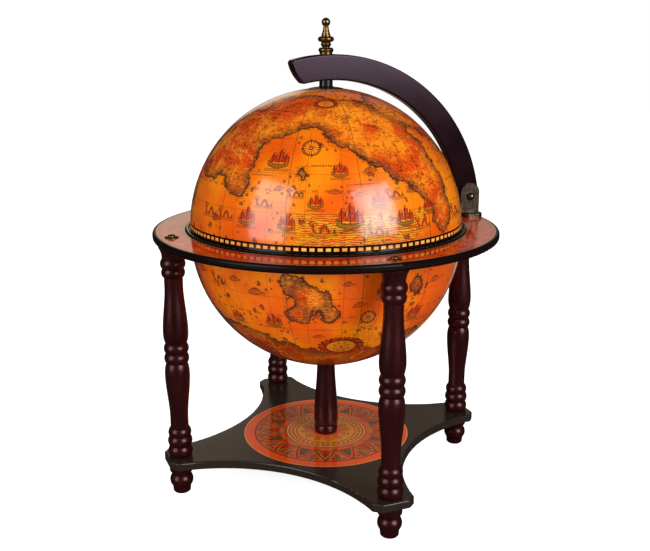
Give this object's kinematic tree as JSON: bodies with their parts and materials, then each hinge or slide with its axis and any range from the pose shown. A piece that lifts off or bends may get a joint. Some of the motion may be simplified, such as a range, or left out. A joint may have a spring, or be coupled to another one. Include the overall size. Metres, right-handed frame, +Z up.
{
  "type": "tabletop globe bar",
  "caption": "Table-top drinks cabinet shaped as an antique-style globe: the upper half swings open on a curved arm over a rack for bottle and glasses, in a turned-leg stand.",
  "frame": {"origin": "on the floor under the globe's polar axis, in the middle of the four feet", "axes": "+Z up along the polar axis; the arm's hinge stands over the leg on +X, and its pin runs along Y"},
  "size_m": [0.4199, 0.42, 0.5653],
  "materials": {
    "dark_wood": "satin lacquer on dark mahogany stain",
    "black_lacquer": "black lacquer",
    "globe_print": "glossy varnished chart print",
    "ring_print": "glossy varnished print",
    "base_print": "glossy varnished print",
    "lining": "printed lining paper on a fibre shell",
    "black_gloss": "gloss black",
    "tray_wood": "satin stained board",
    "aged_brass": "antique brass",
    "steel": "zinc plated",
    "nylon": "natural nylon",
    "black_plastic": "moulded black"
  },
  "bodies": {
    "stand": {"leg_right": "dark_wood", "leg_back": "dark_wood", "leg_left": "dark_wood", "leg_front": "dark_wood", "foot_right": "dark_wood", "foot_back": "dark_wood", "foot_left": "dark_wood", "foot_front": "dark_wood", "column": "dark_wood", "base_board": "black_lacquer", "base_print": "base_print", "ring_board": "black_lacquer", "ring_print": "ring_print", "bowl_shell": "globe_print", "bowl_liner": "lining", "bowl_rim": "black_gloss", "tray": "tray_wood", "tray_ledge": "tray_wood", "bottle_rest": "tray_wood", "hinge_bracket": "aged_brass", "hinge_pin": "aged_brass", "hinge_nut": "aged_brass", "hinge_washers": "nylon", "leg_bolts": "aged_brass", "foot_studs": "steel", "leg_inserts": "steel", "column_screw": "steel", "column_bolt": "steel", "column_washer": "steel", "bracket_screws": "steel"},
    "arm": {"arm": "dark_wood", "hinge_bush": "aged_brass", "pole_spacer": "black_plastic", "pole_bolt": "steel", "pole_washer": "steel", "pole_nut": "steel", "finial": "aged_brass"},
    "dome": {"dome_shell": "globe_print", "dome_liner": "lining", "dome_band": "black_gloss", "dome_hub": "tray_wood", "pole_skirt": "black_plastic"}
  },
  "joints": [
    {"name": "arm_swing", "type": "hinge", "parent": "stand", "child": "arm", "pos_m": [0.196, 0, 0.345], "axis": [0, 1, 0], "range_deg": [0, 95]},
    {"name": "dome_spin", "type": "hinge", "parent": "arm", "child": "dome", "pos_m": [0, 0, 0.4857], "axis": [0, 0, 1], "continuous": true}
  ]
}
